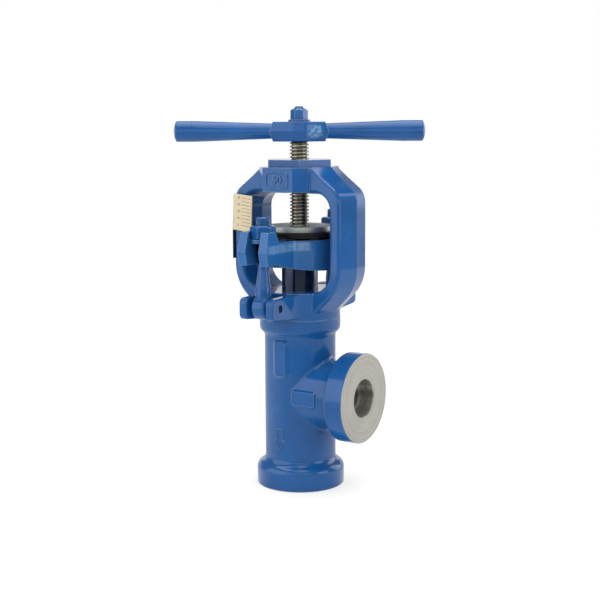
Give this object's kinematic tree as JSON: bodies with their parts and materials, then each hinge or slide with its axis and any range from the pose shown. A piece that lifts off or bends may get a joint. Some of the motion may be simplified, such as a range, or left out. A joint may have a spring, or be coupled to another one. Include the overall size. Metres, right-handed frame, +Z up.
{
  "type": "throttling valve",
  "caption": "Angle-pattern throttling valve with open yoke, T-handle, rising threaded stem, travel indicator, bolted gland and radial stage nozzle.",
  "frame": {"origin": "centre of the outlet face, the face the valve stands on", "axes": "+Z up along the stem, +X out of the inlet branch, -Y the front of the yoke window"},
  "size_m": [0.3196, 0.245, 0.558],
  "materials": {
    "blue_paint": "gloss",
    "pin_steel": "satin",
    "black_steel": "satin",
    "stem_steel": "satin",
    "disc_steel": "satin",
    "gland_steel": "gloss",
    "trim_steel": "satin",
    "bronze": "satin",
    "graphite": "matt",
    "scale_face": "satin"
  },
  "bodies": {
    "valve": {"valve_body": "blue_paint", "seat_gasket": "graphite", "seat_bush": "trim_steel", "nozzle_sleeve_inner": "trim_steel", "nozzle_sleeve_middle": "trim_steel", "nozzle_sleeve_outer": "trim_steel", "stuffing_box_insert": "trim_steel", "body_seal_rings": "graphite", "packing_base_ring": "bronze", "packing_rings": "graphite", "yoke": "blue_paint", "yoke_locking_screw": "black_steel", "thread_bush": "blue_paint", "bush_locking_screw": "black_steel", "swing_bolt_front": "blue_paint", "swing_bolt_rear": "blue_paint", "swing_bolt_pins": "pin_steel", "scale_bracket": "black_steel", "scale_plate": "scale_face", "scale_screws": "black_steel"},
    "plug": {"plug": "trim_steel", "plug_thrust_pad": "trim_steel", "plug_retaining_ring": "trim_steel"},
    "stem": {"stem": "stem_steel", "indicator_disc": "disc_steel", "indicator_collar": "black_steel", "collar_set_screw": "black_steel", "handle": "blue_paint", "handle_washer": "blue_paint", "handle_lock_nut": "blue_paint"},
    "gland": {"gland_flange": "blue_paint", "gland_sleeve": "gland_steel", "gland_washers": "blue_paint"},
    "gland_nut_front": {"gland_nut_front": "blue_paint"},
    "gland_nut_rear": {"gland_nut_rear": "blue_paint"}
  },
  "joints": [
    {"name": "stem_turn", "type": "hinge", "parent": "plug", "child": "stem", "pos_m": [0, 0, 0.5], "axis": [0, 0, 1], "range_deg": [0, 2880]},
    {"name": "plug_lift", "type": "slide", "parent": "valve", "child": "plug", "axis": [0, 0, 1], "range_m": [0, 0.04]},
    {"name": "gland_nut_front_turn", "type": "hinge", "parent": "gland", "child": "gland_nut_front", "pos_m": [0, -0.094, 0.38], "axis": [0, 0, -1], "range_deg": [0, 576]},
    {"name": "gland_nut_rear_turn", "type": "hinge", "parent": "gland", "child": "gland_nut_rear", "pos_m": [0, 0.094, 0.38], "axis": [0, 0, -1], "range_deg": [0, 576]},
    {"name": "gland_take_up", "type": "slide", "parent": "valve", "child": "gland", "axis": [0, 0, -1], "range_m": [0, 0.004], "deforming": ["packing_rings"]}
  ],
  "couplings": [
    {"joint": "plug_lift", "follows": "stem_turn", "m_per_rad": 0.00079577},
    {"joint": "gland_nut_front_turn", "follows": "gland_take_up", "rad_per_m": 2513.3},
    {"joint": "gland_nut_rear_turn", "follows": "gland_take_up", "rad_per_m": 2513.3}
  ]
}
